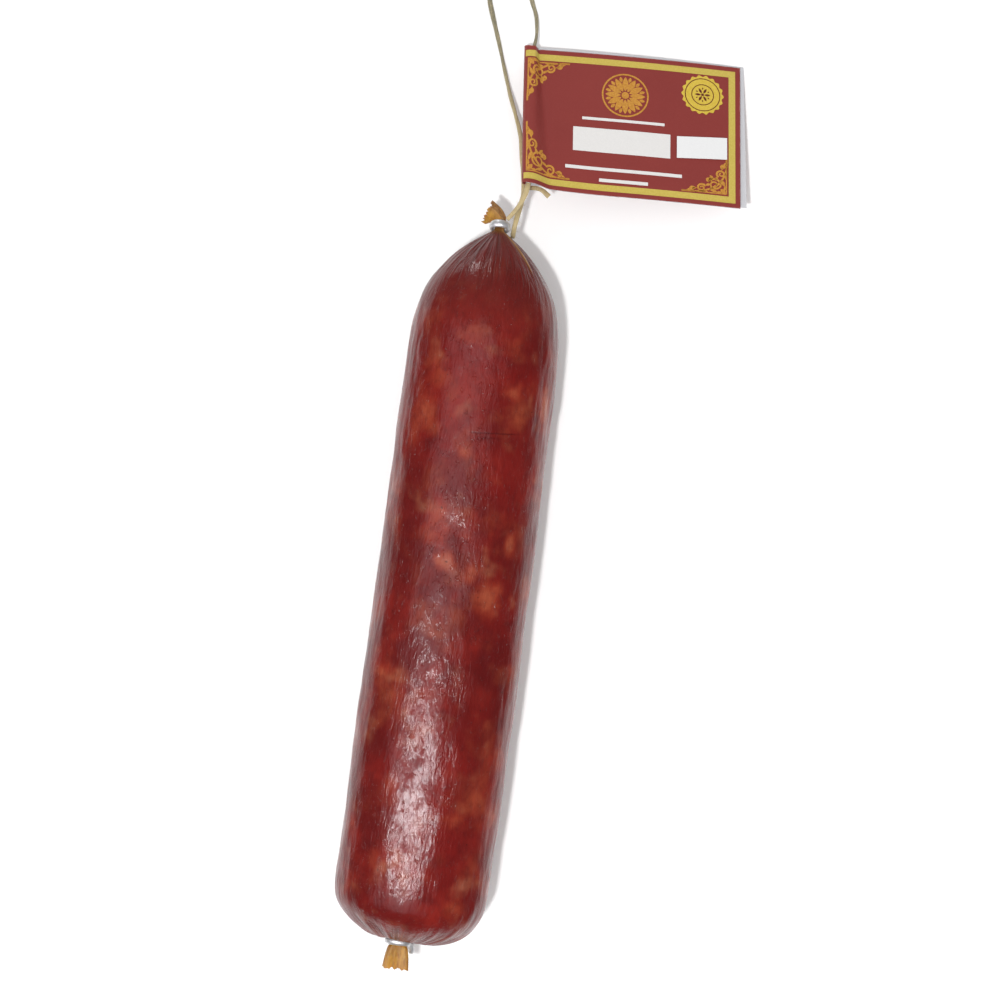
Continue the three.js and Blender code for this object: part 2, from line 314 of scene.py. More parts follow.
UPPER_RADIUS, LOWER_RADIUS = 24.4, 25.3
SINK = 0.9  # how far the underside is pressed flat
AXIS_LEAN = -0.0117  # how far the sausage's middle moves sideways for each step along y
EXTRA_WIDTH, EXTRA_MIDDLE = 0.25, 0.6  # it has sagged wider than it is high, most in the middle
MIDDLE_SHIFT = 0.25  # and its middle has rolled a little to the right
SHOULDER_FOOT, SHOULDER_APEX, SHOULDER_POWER = 77, 120.5, 2.8
BLUNT_FOOT, BLUNT_DEPTH, BLUNT_POWER, BLUNT_SHIFT, BLUNT_ANGLE = -99.5, 20, 2.4, -2, 69
BLUNT_DROOP, BLUNT_TURN = math.radians(9.5), math.radians(-3)
DIMPLE = [(7.6, -118.2), (6.2, -117.7), (5, -116.8), (3.6, -116.3)]
SHOULDER_LAST = 0.974
UPPER_CLIP, UPPER_NECK, UPPER_DROOP = (-1.3, 120.9, 23.5), (1.6, 1.4), math.radians(20)
LOWER_CLIP, LOWER_NECK, LOWER_DROOP = (-0.7, -118.8, 25), (2.3, 1.7), math.radians(7)
SIDES = 232
CLAMP = 0.3  # how softly the underside turns into the flat strip
EDGE_ANGLE = math.radians(40)  # where the standing edge of a pleat is, from the right side upwards


def body_radius(y):
    along = np.clip((SHOULDER_FOOT - y) / (SHOULDER_FOOT - BLUNT_FOOT), 0, 1)
    return mix(UPPER_RADIUS, LOWER_RADIUS, along)


def upper_stations():
    """The neck under the upper clip and the shoulder below it."""
    rows = []
    slope = math.tan(UPPER_DROOP)
    for y in (122.6, 121.9, 121.2, 120.4, 119.7):
        z = UPPER_CLIP[2] - (y - UPPER_CLIP[1]) * slope
        rows.append((y, *UPPER_NECK, UPPER_CLIP[0], z, 1, 0, 0))
    for fraction in np.linspace(SHOULDER_LAST, 0, 108)[:-1]:
        y = mix(SHOULDER_FOOT, SHOULDER_APEX, fraction)
        radius = max(body_radius(y) * (1 - fraction**SHOULDER_POWER), UPPER_NECK[0])
        z = UPPER_RADIUS - SINK + 0.4 * fraction**12
        rows.append((y, radius, radius, AXIS_LEAN * y, z, fraction, 0, 0))
    return rows


def body_stations():
    rows = []
    for y in np.linspace(SHOULDER_FOOT, BLUNT_FOOT, 231)[:-1]:
        radius = body_radius(y)
        rows.append((y, radius, radius, AXIS_LEAN * y, radius - SINK, 0, 0, 0))
    return rows


def lower_stations():
    """The blunt end, the hollow round the lower clip and the neck in it."""
    rows = []
    height = LOWER_RADIUS - SINK
    for angle in np.radians(np.linspace(0, BLUNT_ANGLE, 50)):
        fraction = math.sin(angle)
        y = BLUNT_FOOT - BLUNT_DEPTH * fraction
        radius = LOWER_RADIUS * math.sqrt(1 - fraction**BLUNT_POWER)
        x = AXIS_LEAN * y + BLUNT_SHIFT * fraction**6
        rows.append((y, radius, radius, x, height, 0, fraction, float(smooth(fraction, 0.2, 1))))
    rim = rows[-1]
    hollow = [(rim[1], rim[0], 0), *[(r, y, 0) for r, y in DIMPLE], (2.5, -116.3, 0)]
    line = spline(hollow, 0.62)[1:]
    for i, (radius, y, _) in enumerate(line):
        inwards = (i + 1) / len(line)
        tall = mix(radius, min(radius, LOWER_NECK[1] * 1.1), inwards**3)
        x, z = mix(rim[3], LOWER_CLIP[0], inwards), mix(height, LOWER_CLIP[2], inwards)
        rows.append((y, radius, tall, x, z, 0, mix(rim[6], 1, inwards), 1))
    for y in (-117, -118.2, -119.6):
        rows.append((y, *LOWER_NECK, LOWER_CLIP[0], LOWER_CLIP[2], 0, 1, 1))
    return rows


def stations():
    """Rows of y, half width, half height, axis x and z, how far into each end, and how much it leans."""
    return np.array(upper_stations() + body_stations() + lower_stations())


def on_cylinder(radius, angle, y):
    """Points on a plain cylinder along y, a row for each y, for noise that closes all the way round."""
    rows = np.broadcast_arrays(radius * np.cos(angle), y, radius * np.sin(angle))
    return np.stack(rows, -1).reshape(-1, 3)


def pleats_round(angle, y, shape):
    """Folds that run out from a clip: narrow ones, and broad ones that reach further."""
    swirl = 0.07 * noise_at(on_cylinder(9, angle, y * 0.6), 0.1, 2.2).reshape(shape)
    ray = np.stack([np.cos(angle + swirl), np.sin(angle + swirl)], -1)
    fine = np.concatenate([ray * 9, np.broadcast_to(y * 0.03, shape)[..., None]], -1).reshape(-1, 3)
    narrow = ridges_at(fine, 1.0, 11.0).reshape(shape)
    broad = ridges_at(fine, (0.34, 0.34, 1), 4.0).reshape(shape)
    return narrow, broad, fine


# Pieces of fat and of darker lean meat on the upper side: x, y, half width, half length, strength.
FAT = [
    (10, 82, 3, 3, 0.5), (11, 66, 3, 3, 0.65), (22, 63, 1.5, 7, 0.85), (-13, 67, 3.5, 3.5, 0.5),
    (-16, 57, 4, 6, 0.6), (-2, 45, 2.5, 3, 0.7), (-7, 23, 4.5, 6, 0.6), (-3, 9, 4, 3, 0.8),
    (-16, 93, 3, 2, 0.5), (-1, 95, 3, 3, 0.4), (17, 17, 2, 4, 0.7), (-19, 49, 2.5, 5, 0.5),
    (-9, 17, 5, 4, 0.5), (12, -1, 4.5, 6, 0.7), (6, 7, 3, 3.5, 0.65), (-18, -30, 3, 4, 0.7),
    (12, -73, 3, 3, 0.6), (-10, -65, 3, 4, 0.5), (16, -102, 3.5, 3, 0.6), (-12, -88, 2, 4, 0.4),
    (24, -71, 2.5, 4, 0.6), (-22, 29, 2, 5, 0.5), (19, -52, 3, 4, 0.4),
]
LEAN = [
    (-17, 38, 5, 8, 1.0), (12, -27, 5, 5, 0.9), (-17, -52, 4, 6, 0.9), (13, -61, 4, 5, 0.8),
    (9, 50, 5, 5, 0.6), (21, -33, 4, 8, 0.6), (-15, 4, 4, 9, 0.8), (-16, -12, 4, 6, 0.7),
    (16, 32, 4, 6, 0.5), (-14, -76, 4, 7, 0.8),
]


def patches(spots, x, y, top, ragged):
    """Soft-edged patches, 0 to 1, on the upper side only."""
    found = np.zeros(np.broadcast_shapes(x.shape, y.shape))
    for left, up, half_width, half_length, strength in spots:
        away = np.hypot((x - left) / half_width, (y - up) / half_length) + ragged
        found = np.maximum(found, strength * (1 - smooth(away, 0, 1.9)))
    return found * top


def skin_swell(nominal, shape, cos):
    """Lumps of the filling, and the slack of the dried skin over them, in millimetres."""
    lumps = noise_at(nominal, (0.045, 0.026, 0.045), 3.1).reshape(shape)
    dents = noise_at(nominal, (0.12, 0.05, 0.12), 9.4).reshape(shape)
    crinkle = noise_at(nominal, (0.34, 0.11, 0.34), 15.2, 4).reshape(shape)
    wrinkles = ridges_at(nominal, (0.4, 0.05, 0.4), 5.7).reshape(shape)
    patchy = smooth(noise_at(nominal, (0.05, 0.03, 0.05), 21.3).reshape(shape), -0.3, 0.5)
    flank = smooth(np.abs(cos), 0.5, 0.9)
    swell = 0.5 * lumps + 0.25 * dents + 0.13 * crinkle * (0.4 + 0.6 * patchy)
    return swell + (0.02 + 0.1 * flank * (0.3 + 0.7 * patchy)) * (wrinkles - 0.6)


def pleat_swell(narrow, broad, wide, upper, lower):
    """The relief of the pleats that run out from the two clips."""
    depth_up = smooth(upper, 0.45, 0.9) * np.minimum(0.09 * wide, 0.65)
    depth_low = smooth(lower, 0.4, 0.93) * np.minimum(0.12 * wide, 1.2)
    swell_up = depth_up * (0.6 * (narrow - 0.5) + 0.5 * (broad - 0.5))
    return swell_up + depth_low * (0.45 * (narrow - 0.4) + 0.9 * (broad - 0.3))


def pleat_edge(angle, wide, upper):
    """The empty edge of a pleat that stands up along the right side of the shoulder."""
    away = (angle - EDGE_ANGLE) * wide / 0.5
    return np.exp(-(away**2)) * smooth(upper, 0.62, 0.8)


def near_ends(upper, lower, from_upper, from_lower, share=1):
    """A number that rises towards both ends, and reaches only a share of 1 at the lower one."""
    return np.maximum(smooth(upper, *from_upper), share * smooth(lower, *from_lower))


def sausage_surface():
    """The sausage's skin as rows of points, and numbers on them for its material."""
    rows = stations()
    shape = (len(rows), SIDES)
    angle = around(SIDES)[None, :]
    y, wide, high, axis_x, axis_z, upper, lower, lean = [rows[:, i][:, None] for i in range(8)]
    cos, sin = np.cos(angle), np.sin(angle)
    nominal = on_cylinder(25, angle, y)
    body = 1 - smooth(upper, 0.75, 1) - smooth(lower, 0.9, 1)
    narrow, broad, rays = pleats_round(angle, y, shape)
    edge = pleat_edge(angle, wide, upper)
    swell = body * skin_swell(nominal, shape, cos) + pleat_swell(narrow, broad, wide, upper, lower)
    swell = swell + 0.4 * edge * (1 - smooth(upper, 0.95, 1))

    tilt = lean * (math.sin(BLUNT_DROOP) * high * sin + math.sin(BLUNT_TURN) * wide * cos)
    middle = smooth(y, -95, -40) * (1 - smooth(y, 60, 92))
    extra = body * (EXTRA_WIDTH + EXTRA_MIDDLE * middle)
    x = axis_x + MIDDLE_SHIFT * middle + (wide + extra + swell) * cos
    z = axis_z + (high + swell) * sin
    z = np.where(z < CLAMP, CLAMP * np.exp(z / CLAMP - 1), z)
    points = np.stack([x, y + tilt, z], -1).reshape(-1, 3)

    top = smooth(sin, 0.1, 0.35)
    ragged = 0.55 * noise_at(nominal, (0.2, 0.16, 0.2), 33.0, 4).reshape(shape)
    values = {
        "neck": near_ends(upper, lower, (0.93, 0.985), (0.96, 1)),
        "edge": edge,
        "fat": patches(FAT, x, y, top, ragged),
        "lean": patches(LEAN, x, y, top, ragged),
        "scatter": 1 - 0.4 * top,
        "shoulder": near_ends(upper, lower, (0, 0.55), (0.7, 1), 0.5),
        "pleat": near_ends(upper, lower, (0.3, 0.8), (0.5, 0.95), 0.8) * np.minimum(wide / 10, 1),
        "slack": (1 - 0.6 * smooth(upper, 0.2, 0.8)) * (1 - 0.5 * smooth(np.abs(cos), 0.4, 0.75)),
        # Painted shade: the valleys between the broad pleats near both ends, which the material darkens.
        "fold": np.clip(0.5 - broad, 0, 0.5) * 2 * near_ends(upper, lower, (0.5, 0.9), (0.5, 0.9)),
    }
    return points, {name: np.broadcast_to(numbers, shape) for name, numbers in values.items()}, rays


# Thin creases across the upper side, painted as dark shade lines: left and right end, height on the
# sausage, strength.
CREASES = [(-2.7, 16.5, 50.9, 1), (1.4, 11.3, 49.7, 0.7)]
CREASE_SLOPE = 0.102


def crease_lines(graph):
    """1 on the thin creases across the sausage and 0 away from them; the skin gets painted shade and a
    slight dent there.
    """
    x, y, z = graph.split(graph.place())
    wobble = graph.times(graph.minus(graph.noise(0.25), 0.5), 1.2)
    marks = 0.0
    for left, right, height, strength in CREASES:
        middle = graph.math("ADD", graph.times(x, CREASE_SLOPE), height - left * CREASE_SLOPE)
        away = graph.math("ADD", graph.minus(y, middle), wobble)
        line = graph.step(graph.math("ABSOLUTE", away), 0.1, 0.5, strength, 0)
        inside = graph.times(graph.step(x, left, left + 4), graph.step(x, right - 5, right, 1, 0))
        marks = graph.math("MAXIMUM", graph.times(line, inside), marks)
    return graph.times(marks, graph.step(z, 28, 32))


def meat_colour(graph):
    """Deep red filling with soft paler pieces of fat showing through the casing."""
    dark, red, bright = srgb(90, 18, 17), srgb(108, 21, 18), srgb(124, 31, 24)
    orange, cream = srgb(154, 74, 46), srgb(186, 126, 92)
    cloud = graph.noise(0.03, 2, shift=4)
    meat = graph.blend(graph.step(cloud, 0.35, 0.65), dark, red)
    mottle = graph.noise(0.09, stretch=(1, 0.8, 1), twist=0.3)
    meat = graph.blend(graph.step(mottle, 0.42, 0.75, 0, 0.85), meat, bright)
    dim = graph.noise(0.13, 3, 0.55, shift=44)
    meat = graph.blend(graph.step(dim, 0.5, 0.8, 0, 0.8), meat, srgb(84, 17, 18))
    scatter = graph.value("scatter")
    fat = graph.step(graph.noise(0.075, shift=31, twist=0.2), 0.48, 0.8, 0, 0.85)
    meat = graph.blend(graph.times(fat, scatter), meat, orange)
    lard = graph.step(graph.noise(0.1, 2, 0.45, shift=57), 0.58, 0.9, 0, 0.6)
    meat = graph.blend(graph.times(lard, scatter), meat, cream)
    meat = graph.blend(graph.times(graph.value("lean"), 0.6), meat, srgb(80, 15, 16))
    meat = graph.blend(graph.step(graph.value("fat"), 0.05, 0.8, 0, 0.75), meat, srgb(142, 54, 34))
    meat = graph.blend(graph.step(graph.value("fat"), 0.4, 1, 0, 0.6), meat, srgb(160, 92, 64))
    grain = graph.noise(0.4, 3, 0.6, stretch=(1, 0.8, 1), shift=71)
    meat = graph.blend(graph.step(grain, 0.45, 0.75, 0, 0.4), meat, srgb(80, 17, 17))
    speck = graph.noise(0.6, 1, shift=90)
    return graph.blend(graph.step(speck, 0.77, 0.8, 0, 0.6), meat, srgb(45, 18, 14))


# What darkens or bleaches the skin, one over the other: where, how much, and to which colour. The neck and
# the pleat edge are the casing's own ochre, the shoulders turn browner towards both ends, and fold is
# painted shade in the valleys between the broad pleats.
SKIN_TINTS_AND_SHADE = [
    ("shoulder", 0.75, (92, 29, 26)), ("fold", 0.5, (66, 18, 15)), ("neck", 1.0, (116, 80, 40)),
    ("edge", 0.8, (172, 132, 84)),
]


def pleat_lines(graph):
    """Fine lines that run out from both clips: 0 in a line and 1 beside it. Each line gets a slight groove
    and painted shade.
    """
    fine = graph.noise(1, 2, 0.55, shift=5, at=graph.vector("rays"))
    return graph.step(graph.math("ABSOLUTE", graph.minus(fine, 0.5)), 0, 0.07)


def skin_colour(graph, crease, pleats):
    """The filling's colour under the casing's streaks, its ochre neck and pleat edge and browner
    shoulders, with painted shade in the pleat valleys, crease lines and pleat lines.
    """
    meat = meat_colour(graph)
    streak = graph.noise(1.1, 3, 0.6, stretch=(1, 0.14, 1), shift=8)
    meat = graph.blend(graph.step(streak, 0.4, 0.8, 0, 0.25), meat, srgb(86, 20, 19))
    for name, strength, colour in SKIN_TINTS_AND_SHADE:
        meat = graph.blend(graph.times(graph.value(name), strength), meat, srgb(*colour))
    # Painted shade: a dark line along each crease.
    meat = graph.blend(graph.times(crease, 0.65), meat, srgb(70, 12, 12))
    # Painted shade: dark fine pleat lines near both clips.
    depth = graph.times(graph.value("pleat"), 0.35)
    return graph.blend(graph.times(graph.minus(1.0, pleats), depth), meat, srgb(52, 18, 16))


def skin_relief(graph, crease, pleats):
    """The casing's leathery grain, pores and nicks, its pleat lines and its crease marks."""
    slack = graph.value("slack")
    leather = graph.noise(0.9, 4, 0.55, stretch=(1, 0.26, 1), shift=2, twist=0.5)
    taut = graph.step(graph.noise(0.07, 2, shift=63), 0.38, 0.62, 0.8, 1.5)
    pores = graph.noise(1.5, 3, 0.6, stretch=(1, 0.38, 1), shift=6)
    nick = graph.noise(0.75, 3, 0.55, stretch=(1, 0.6, 1), shift=23, twist=1.2)
    skin = graph.bump(graph.times(leather, graph.times(slack, taut)), 0.2)
    skin = graph.bump(pores, 0.05, under=skin)
    skin = graph.bump(graph.times(graph.step(nick, 0.62, 0.7), slack), 0.1, under=skin)
    skin = graph.bump(graph.times(pleats, graph.value("pleat")), 0.13, under=skin)
    return graph.bump(crease, -0.02, under=skin)


def sausage_material():
    graph = Graph("smoked_casing")
    crease, pleats = crease_lines(graph), pleat_lines(graph)
    graph.plug(skin_colour(graph, crease, pleats), "Base Color")
    rub = graph.noise(0.3, 4, 0.6, stretch=(1, 0.5, 1), shift=14)
    graph.plug(graph.step(rub, 0.3, 0.7, 0.3, 0.4), "Roughness")
    skin = skin_relief(graph, crease, pleats)
    graph.plug(skin, "Normal")
    graph.plug(skin, "Coat Normal")
    graph.set(Subsurface_Weight=0.08, Subsurface_Scale=0.003, IOR=1.2)
    graph.set(Coat_Weight=0.42, Coat_Roughness=0.08, Coat_IOR=1.45)
    graph.set(Subsurface_Radius=(1.0, 0.25, 0.15))
    return graph.material


def make_sausage():
    points, values, rays = sausage_surface()
    faces = tube_faces(len(points) // SIDES, SIDES)
    sausage = add_piece("sausage_skin", points * MM, faces, sausage_material())
    for name, numbers in values.items():
        add_numbers(sausage.data, name, numbers)
    add_numbers(sausage.data, "rays", rays, "FLOAT_VECTOR")
    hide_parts("sausage")


# ---------------- cut tails of the casing


def tail_material():
    graph = Graph("dry_casing")
    fold = graph.noise(0.8, 3, 0.6, stretch=(1, 0.3, 1), shift=3)
    pale = graph.blend(graph.step(fold, 0.3, 0.7), srgb(140, 94, 30), srgb(178, 130, 50))
    brown = graph.blend(graph.step(fold, 0.3, 0.7), srgb(116, 78, 46), srgb(158, 118, 76))
    colour = graph.blend(graph.value("brown"), pale, brown)
    haze = graph.noise(0.4, 2, shift=12)
    colour = graph.blend(graph.step(haze, 0.55, 0.8, 0, 0.4), colour, srgb(158, 124, 66))
    graph.plug(colour, "Base Color")
    graph.plug(graph.bump(graph.noise(2.2, 3, 0.6, stretch=(1, 0.3, 1)), 0.1), "Normal")
    graph.set(Roughness=0.45, IOR=1.35, Subsurface_Weight=0.15, Subsurface_Scale=0.0015)
    return graph.material


TAIL_ROWS, TAIL_SIDES = 30, 96
SKIN_THICKNESS = 0.14


def make_tail(name, material, spine, sizes, turns, pleats, ragged, seed, brown_side):
    """A gathered tube of dry skin, open and torn at its end. All sizes in millimetres."""
    angle = around(TAIL_SIDES)
    spine, sizes, turns = np.array(spine, float), np.array(sizes, float), np.radians(turns)
    knots = np.linspace(0, 1, len(spine))
    ring = np.stack([np.cos(angle), np.sin(angle), 0 * angle], -1)
    tear = ragged * (noise_at(4 * ring, 0.55, seed) + 0.5 * noise_at(9 * ring, 1.1, seed))
    wave = np.cos(pleats * angle + seed) + 0.6 * np.cos((2 * pleats + 1) * angle + 2 * seed)
    points = []
    for t in np.arange(TAIL_ROWS) / (TAIL_ROWS - 1):
        reach = t * (1 + tear * t)
        centre = np.stack([np.interp(reach, knots, spine[:, i]) for i in range(3)], -1)
        extra = np.maximum(reach - 1, 0)[:, None] * (spine[-1] - spine[-2]) * (len(spine) - 1)
        wide, high, turn = (np.interp(t, knots, column) for column in (*sizes.T, turns))
        swell = 1 + 0.17 * wave * smooth(t, 0, 0.6)
        across = wide * swell * np.cos(angle)
        up = high * swell * np.sin(angle) * (1 + 0.25 * np.cos(3 * angle + seed) * t)
        points.append(centre + extra
                      + np.stack([across * math.cos(turn), across * math.sin(turn), up], -1))
    faces = grid_faces(TAIL_ROWS, TAIL_SIDES, flip=True)
    piece = add_piece(name, np.concatenate(points) * MM, faces, material)
    brown = smooth(brown_side * np.cos(angle), -0.1, 0.5) * abs(brown_side)
    add_numbers(piece.data, "brown", np.tile(brown, TAIL_ROWS))
    solid = piece.modifiers.new("thickness", "SOLIDIFY")
    solid.thickness = SKIN_THICKNESS * MM
    solid.offset = 0


def make_tails():
    material = tail_material()
    make_tail("upper_tail", material,
              spine=[(-1.35, 121.9, 23.1), (-2.4, 123.1, 22.6), (-4.2, 124.3, 21.7), (-6.1, 125.5, 20.8)],
              sizes=[(1.7, 1.4), (2.7, 1.5), (3.2, 1.4), (3.4, 1.0)], turns=[8, 26, 55, 70],
              pleats=4, ragged=0.16, seed=1.3, brown_side=0.8)
    make_tail("lower_tail", material,
              spine=[(-0.5, -119.4, 25.1), (-0.45, -120.6, 25.1), (-0.4, -124.5, 25.0),
                     (-0.35, -127.6, 24.8)],
              sizes=[(2.3, 1.7), (3.2, 1.8), (3.7, 2.0), (4.0, 2.1)], turns=[0, 0, 0, 0],
              pleats=3, ragged=0.09, seed=4.1, brown_side=0.25)


# ---------------- clips


def clip_material():
    graph = Graph("clip_aluminium")
    scuff = graph.noise(1.6, 4, 0.6)
    graph.plug(graph.blend(scuff, srgb(205, 205, 205), srgb(228, 228, 230)), "Base Color")
    graph.plug(graph.step(scuff, 0.35, 0.7, 0.38, 0.5), "Roughness")
    graph.plug(graph.bump(graph.noise(0.8), 0.12), "Normal")
    graph.set(Metallic=0.75)
    return graph.material


def sweep(line, radii_across, radii_along, along_axis, columns):
    """Rows of points round a line; one radius lies on along_axis, the other across it."""
    tangent = directions(line)
    along = along_axis - tangent * (tangent @ along_axis)[:, None]
    along /= np.linalg.norm(along, axis=1)[:, None]
    across = np.cross(tangent, along)
    angle = around(columns)
    return (line[:, None, :]
            + radii_along[:, None, None] * np.cos(angle)[None, :, None] * along[:, None, :]
            + radii_across[:, None, None] * np.sin(angle)[None, :, None] * across[:, None, :])


CLIP_START, CLIP_END = 250, -60  # where its wire starts and ends round the neck, in degrees
CLIP_GAP = 0.3  # between the skin and the wire


def make_clip(name, node, centre, droop, neck, wire, swing, material):
    """Crimped wire, given by its width and thickness, round a neck; one end may swing out."""
    along, across = wire
    steps, columns = 90, 24
    t = np.linspace(0, 1, steps)
    degrees = mix(CLIP_START, CLIP_END, t)
    bend = smooth(-degrees, -25, 60)
    reach = CLIP_GAP + across / 2
    angle = np.radians(degrees)
    line = np.stack([(neck[0] + reach) * np.cos(angle) + swing[0] * bend, swing[1] * bend,
                     (neck[1] + reach) * np.sin(angle)], -1)
    from_end = np.minimum(t, 1 - t) * 18
    rounding = np.sqrt(np.clip(1 - (1 - np.clip(from_end / 0.8, 0, 1)) ** 2, 0.02, 1))
    press = 1 + 0.05 * np.sin(9 * t + 1) - 0.1 * np.exp(-(((degrees - 20) / 16) ** 2))
    rows = sweep(line, across / 2 * rounding * press, along / 2 * rounding / press,
                 np.array((0, 1, 0)), columns)
    turn = np.array(Euler((-droop, 0, 0)).to_matrix())
    points = rows.reshape(-1, 3) @ turn.T + np.array(centre)
    clip = add_piece(name, points * MM, tube_faces(steps, columns), material)
    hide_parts(node)


def make_clips():
    material = clip_material()
    make_clip("upper_clip_wire", "upper_clip", UPPER_CLIP, UPPER_DROOP, UPPER_NECK, (2.6, 1.7),
              (0, 0), material)
    make_clip("lower_clip_wire", "lower_clip", LOWER_CLIP, LOWER_DROOP, LOWER_NECK, (2.2, 2),
              (2.2, -2.8), material)


# ---------------- string

STRING_DIAMETER = 1.5
# The route of the CAD string, in millimetres: clip, under the tag, loop, through its fold, clip.
STRING_ROUTE = [
    (3.3, 118.4, 20.4), (3.4, 119.6, 22.6), (3.5, 121.4, 23.7), (3.8, 124.6, 23.2), (4.3, 128.5, 21.6),
    (4.8, 132.5, 19.9), (4.5, 137, 17.9), (3, 144.5, 14.9), (0.9, 154, 11), (-1.5, 160.5, 7.9),
    (-5, 169.2, 3.9), (-8.6, 179.2, 1.4), (-11.9, 188.2, 0.82), (-14.7, 195.4, 0.82),
    (-16.8, 202, 0.82), (-17.4, 208.5, 0.82), (-15.8, 215, 0.82), (-11.9, 219, 0.82),
    (-7.4, 217.4, 0.82), (-4.6, 212, 0.82), (-3.2, 206.5, 0.82), (-1.8, 201.5, 0.82),
    (0, 197.5, 1), (1, 193, 2.9), (1.4, 188.5, 5.6), (1.15, 184.4, 7.72), (2.05, 172, 11.55),
    (3.35, 159.7, 15.5), (4.7, 147.6, 20.2), (6, 136.6, 24.9), (5.5, 132.4, 26), (4.3, 129.2, 26.1),
    (2.9, 126.4, 26), (1.5, 124.4, 25.8), (0.8, 123.4, 25.5),
]
CUT_END_ROUTE = [(6.0, 135.7, 18.6), (10.2, 135.9, 17.8), (13.4, 134.0, 17.0)]
PLIES, PLY_PITCH, TWINE_SIDES = 2, 11 * MM, 22


def length_along(line):
    """How far each point is along a line."""
    return np.concatenate([[0], np.cumsum(np.linalg.norm(np.diff(line, axis=0), axis=1))])


def spline(points, spacing):
    """Points at an even spacing on a natural cubic spline through the given points."""
    points = np.array(points, float)
    knots = length_along(points)
    gaps = np.diff(knots)
    count = len(points)
    system, right = np.eye(count), np.zeros((count, 3))
    for i in range(1, count - 1):
        system[i, i - 1:i + 2] = gaps[i - 1], 2 * (gaps[i - 1] + gaps[i]), gaps[i]
        right[i] = 6 * ((points[i + 1] - points[i]) / gaps[i] - (points[i] - points[i - 1]) / gaps[i - 1])
    second = np.linalg.solve(system, right)
    at = np.linspace(0, knots[-1], max(int(knots[-1] / spacing), 3))
    i = np.clip(np.searchsorted(knots, at, "right") - 1, 0, count - 2)
    h, a, b = gaps[i][:, None], (knots[i + 1] - at)[:, None], (at - knots[i])[:, None]
    return (second[i] * a**3 / (6 * h) + second[i + 1] * b**3 / (6 * h)
            + (points[i] / h - second[i] * h / 6) * a + (points[i + 1] / h - second[i + 1] * h / 6) * b)


def carried_frames(line):
    """Two directions across the line at each point, carried along it without twist."""
    tangent = directions(line)
    side = np.cross(tangent[0], (0, 0, 1))
    sides = []
    for t in tangent:
        side = side - t * (side @ t)
        side = side / np.linalg.norm(side)
        sides.append(side)
    sides = np.array(sides)
    return sides, np.cross(tangent, sides)


def twine_rows(line, radius, width=1.1, height=0.8, phase=0.0):
    """Rows of points, in metres, round a flattened, softly twisted twine of uneven thickness."""
    side, up = carried_frames(line)
    along = length_along(line)[:, None]
    angle = around(TWINE_SIDES)[None, :]
    twist = 2 * math.pi * along / PLY_PITCH + phase
    lobes = np.abs(np.cos(PLIES * (angle - twist / PLIES) / 2))
    uneven = 1 + 0.18 * np.sin(along / 0.0135) + 0.06 * np.sin(along / 0.0041)
    reach = radius * uneven * (0.82 + 0.16 * lobes)
    offset = (reach * width * np.cos(angle))[..., None] * side[:, None, :]
    offset = offset + (reach * height * np.sin(angle))[..., None] * up[:, None, :]
    return line[:, None, :] + offset


def string_material():
    """Flax twine: tan beside the clip and greyer further out."""
    graph = Graph("twine")
    y = graph.split(graph.place())[1]
    grey = graph.step(y, 140, 188)
    patch = graph.step(graph.noise(0.12, 3, 0.6), 0.3, 0.7)
    near = graph.blend(patch, srgb(158, 138, 96), srgb(182, 162, 116))
    far = graph.blend(patch, srgb(104, 98, 76), srgb(128, 120, 92))
    colour = graph.blend(grey, near, far)
    fibre = graph.noise(4.5, 4, 0.7, stretch=(1, 0.15, 0.5), shift=5)
    light = graph.step(fibre, 0.4, 0.75, 0, 0.5)
    colour = graph.blend(light, colour, srgb(206, 190, 150))
    graph.plug(colour, "Base Color")
    graph.plug(graph.bump(fibre, 0.12), "Normal")
    graph.set(Roughness=0.7, Sheen_Weight=0.2, Sheen_Roughness=0.5)
    return graph.material


def tube_piece(name, rows, material):
    return add_piece(name, rows.reshape(-1, 3), tube_faces(*rows.shape[:2]), material)


HAIR_ROWS, HAIR_SIDES = 6, 3


def make_hairs(name, roots, count, length, radius, material, seed):
    """Loose fibres that start on points of a line and bend away from it."""
    dice = random.Random(seed)
    points, faces = [], []
    for _ in range(count):
        start = Vector(dice.choice(roots)) + Vector([dice.uniform(-0.5, 0.5) * MM for _ in range(3)])
        way = Vector([dice.gauss(0, 1), dice.gauss(-0.2, 1), dice.gauss(0.2, 0.6)]).normalized()
        bend = Vector([dice.gauss(0, 1) for _ in range(3)]).normalized()
        long = length * dice.uniform(0.4, 1.0)
        faces += [tuple(len(points) + i for i in face) for face in tube_faces(HAIR_ROWS, HAIR_SIDES)]
        for row in range(HAIR_ROWS):
            t = row / (HAIR_ROWS - 1)
            centre = start + way * long * t + bend * long * 0.35 * t * t
            size = radius * (1 - 0.7 * t)
            for corner in range(HAIR_SIDES):
                turn = 2 * math.pi * corner / HAIR_SIDES
                points.append(centre + Vector((math.cos(turn), math.sin(turn), math.sin(turn))) * size)
    return add_piece(name, points, faces, material)


def make_string():
    material = string_material()
    line = spline(STRING_ROUTE, 0.4) * MM
    rows = twine_rows(line, STRING_DIAMETER / 2 * MM)
    rows[..., 2] = np.maximum(rows[..., 2], 0.02 * MM)
    twine = tube_piece("twine_loop", rows, material)
    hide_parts("string_loop")

    cut_end = twine_rows(spline(CUT_END_ROUTE, 0.3) * MM, 0.6 * MM, width=1.35, height=0.6, phase=1.0)
    end = tube_piece("twine_cut_end", cut_end, material)
    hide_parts("string_end")
    near_clip = [*line[:26], *line[-22:]]
    hairs = make_hairs("twine_fibres", near_clip, 46, 3.2 * MM, 0.05 * MM, material, 8)


# ---------------- tag

